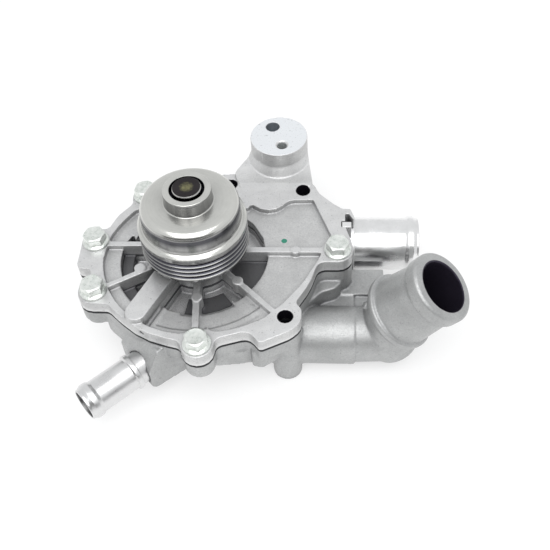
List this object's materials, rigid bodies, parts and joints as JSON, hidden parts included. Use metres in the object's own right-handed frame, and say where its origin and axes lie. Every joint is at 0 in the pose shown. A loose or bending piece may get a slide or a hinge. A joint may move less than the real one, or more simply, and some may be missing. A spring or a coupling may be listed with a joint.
{
  "type": "automotive water pump",
  "caption": "Engine coolant pump: ribbed cover on an aluminium housing, multi-rib belt pulley on a sealed bearing, hose ports on the sides and an angled hose neck.",
  "frame": {"origin": "on the shaft axis, at the rear mounting plane", "axes": "+Z along the shaft towards the pulley; +X towards the hose tube and the hose neck; +Y towards the tensioner boss"},
  "size_m": [0.2401, 0.2067, 0.1124],
  "materials": {
    "cast_aluminium": "satin as-cast grain",
    "cover_aluminium": "satin, shot-blasted and machined on top",
    "gasket": "matte black",
    "zinc_bolt": "pale zinc plating",
    "bright_tube": "bright polished",
    "dark_steel": "ground, dark end face",
    "pulley_steel": "spun steel with fine turning lines",
    "impeller_steel": "pressed steel",
    "bearing_steel": "hardened and polished",
    "black_rubber": "matte",
    "seal_brass": "drawn",
    "carbon": "lapped carbon",
    "ceramic": "lapped ceramic"
  },
  "bodies": {
    "frame": {"rear_housing": "cast_aluminium", "front_cover": "cover_aluminium", "cover_gasket": "gasket", "cover_bolt_1": "zinc_bolt", "cover_bolt_2": "zinc_bolt", "cover_bolt_3": "zinc_bolt", "cover_bolt_4": "zinc_bolt", "cover_bolt_5": "zinc_bolt", "drain_ball_plug": "bearing_steel", "right_hose_tube": "bright_tube", "right_tube_collar": "bright_tube", "left_hose_tube": "bright_tube", "bearing_outer_race": "bearing_steel", "bearing_seal_front": "black_rubber", "bearing_seal_rear": "black_rubber", "seal_case": "seal_brass", "seal_spring": "bearing_steel", "seal_carbon_ring": "carbon"},
    "rotor": {"shaft": "dark_steel", "pulley": "pulley_steel", "impeller": "impeller_steel", "seal_ceramic_seat": "ceramic", "seal_seat_boot": "black_rubber"},
    "ball_row": {"bearing_ball_set": "bearing_steel"},
    "roller_row": {"bearing_roller_set": "bearing_steel"}
  },
  "joints": [
    {"name": "shaft_spin", "type": "hinge", "parent": "frame", "child": "rotor", "pos_m": [0, 0, 0.066], "axis": [0, 0, 1], "continuous": true},
    {"name": "ball_row_spin", "type": "hinge", "parent": "frame", "child": "ball_row", "pos_m": [0, 0, 0.084], "axis": [0, 0, 1], "continuous": true},
    {"name": "roller_row_spin", "type": "hinge", "parent": "frame", "child": "roller_row", "pos_m": [0, 0, 0.065], "axis": [0, 0, 1], "continuous": true}
  ],
  "couplings": [
    {"joint": "ball_row_spin", "follows": "shaft_spin", "ratio": 0.37},
    {"joint": "roller_row_spin", "follows": "shaft_spin", "ratio": 0.395}
  ]
}
